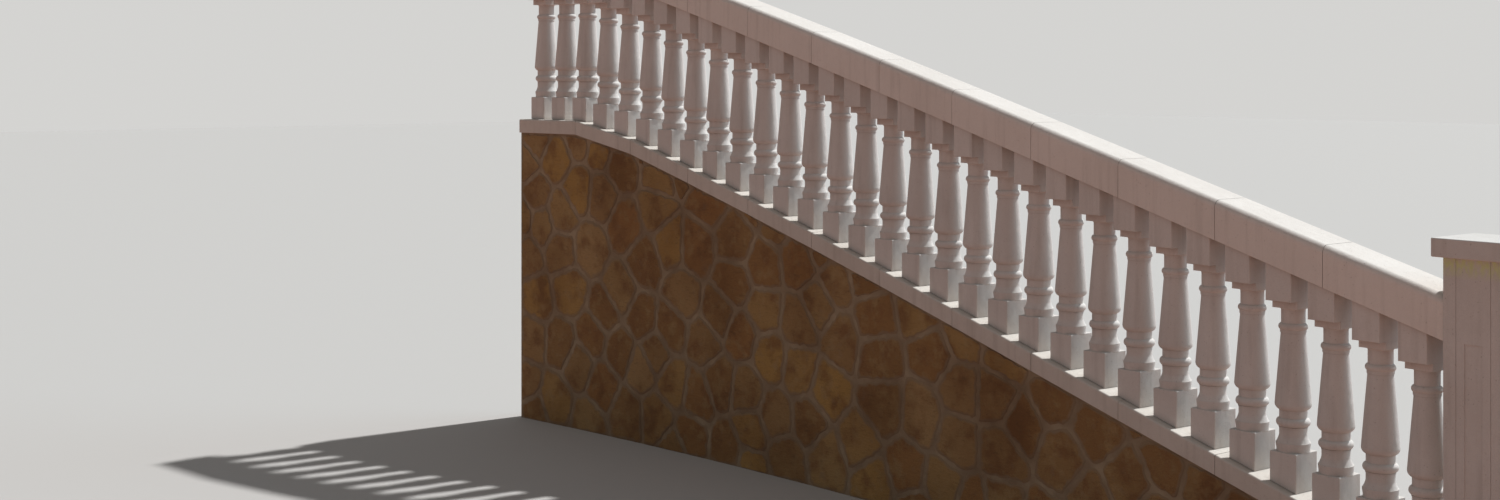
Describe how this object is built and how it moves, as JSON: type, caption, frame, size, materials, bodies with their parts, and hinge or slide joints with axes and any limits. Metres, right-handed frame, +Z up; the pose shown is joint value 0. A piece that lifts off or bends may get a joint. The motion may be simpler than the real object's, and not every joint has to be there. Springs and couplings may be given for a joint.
{
  "type": "raked stone balustrade",
  "caption": "Raked stone balustrade with turned balusters between a base rail and a handrail, a square newel post at its foot and a level landing end, on a stone dwarf wall.",
  "frame": {"origin": "at ground level, under the centre of the newel post", "axes": "+Z up, +X down the flight, away from the run; -Y is the side of the stairs, towards which the upper end turns"},
  "size_m": [6.2155, 0.5076, 2.8154],
  "materials": {
    "rail_stone": "matt, weathered",
    "baluster_stone": "matt, weathered",
    "newel_stone": "matt, weathered",
    "wall_stone": "rough, split faces"
  },
  "bodies": {
    "root": {"newel_foot": "newel_stone", "newel_shaft": "newel_stone", "newel_cap": "newel_stone", "base_rail_01": "rail_stone", "base_rail_02": "rail_stone", "base_rail_03": "rail_stone", "base_rail_04": "rail_stone", "base_rail_05": "rail_stone", "base_rail_06": "rail_stone", "base_rail_07": "rail_stone", "base_rail_08": "rail_stone", "base_rail_09": "rail_stone", "base_rail_10": "rail_stone", "base_rail_11": "rail_stone", "base_rail_12": "rail_stone", "balusters_01": "baluster_stone", "balusters_02": "baluster_stone", "balusters_03": "baluster_stone", "balusters_04": "baluster_stone", "balusters_05": "baluster_stone", "balusters_06": "baluster_stone", "balusters_07": "baluster_stone", "balusters_08": "baluster_stone", "balusters_09": "baluster_stone", "balusters_10": "baluster_stone", "balusters_11": "baluster_stone", "balusters_12": "baluster_stone", "handrail_01": "rail_stone", "handrail_02": "rail_stone", "handrail_03": "rail_stone", "handrail_04": "rail_stone", "handrail_05": "rail_stone", "handrail_06": "rail_stone", "handrail_07": "rail_stone", "handrail_08": "rail_stone", "handrail_09": "rail_stone", "handrail_10": "rail_stone", "handrail_11": "rail_stone", "handrail_12": "rail_stone", "wall_01": "wall_stone", "wall_02": "wall_stone", "wall_03": "wall_stone", "wall_04": "wall_stone"}
  },
  "joints": []
}
